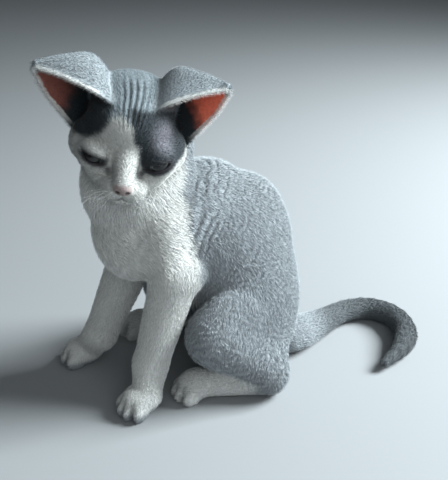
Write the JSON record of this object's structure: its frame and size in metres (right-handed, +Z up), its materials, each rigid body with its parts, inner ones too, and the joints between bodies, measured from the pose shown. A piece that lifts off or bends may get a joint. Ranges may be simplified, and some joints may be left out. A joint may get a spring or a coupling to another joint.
{
  "type": "devon rex kitten",
  "caption": "Life-size still model of a sitting bicolour devon rex kitten, head bowed and turned to its left, tail hooked on the floor.",
  "frame": {"origin": "on the floor, under the middle of the kitten's box", "axes": "+Z up, -Y the way the body faces, +X the kitten's left side"},
  "size_m": [0.123, 0.2524, 0.2159],
  "materials": {
    "coat_blue_grey": "short soft waved fur",
    "coat_dark_grey": "short soft waved fur",
    "coat_white": "short soft waved fur",
    "eye": "wet gloss"
  },
  "bodies": {
    "root": {"torso": "coat_blue_grey", "head": "coat_blue_grey", "neck": "coat_white", "ear_left": "coat_blue_grey", "ear_right": "coat_blue_grey", "eye_left": "eye", "eye_right": "eye", "foreleg_left": "coat_white", "foreleg_right": "coat_white", "forepaw_left": "coat_white", "forepaw_right": "coat_white", "thigh_left": "coat_blue_grey", "thigh_right": "coat_blue_grey", "hind_foot_left": "coat_white", "hind_foot_right": "coat_white", "tail_base": "coat_dark_grey", "tail_middle": "coat_dark_grey", "tail_bend": "coat_dark_grey", "tail_tip": "coat_dark_grey"}
  },
  "joints": []
}
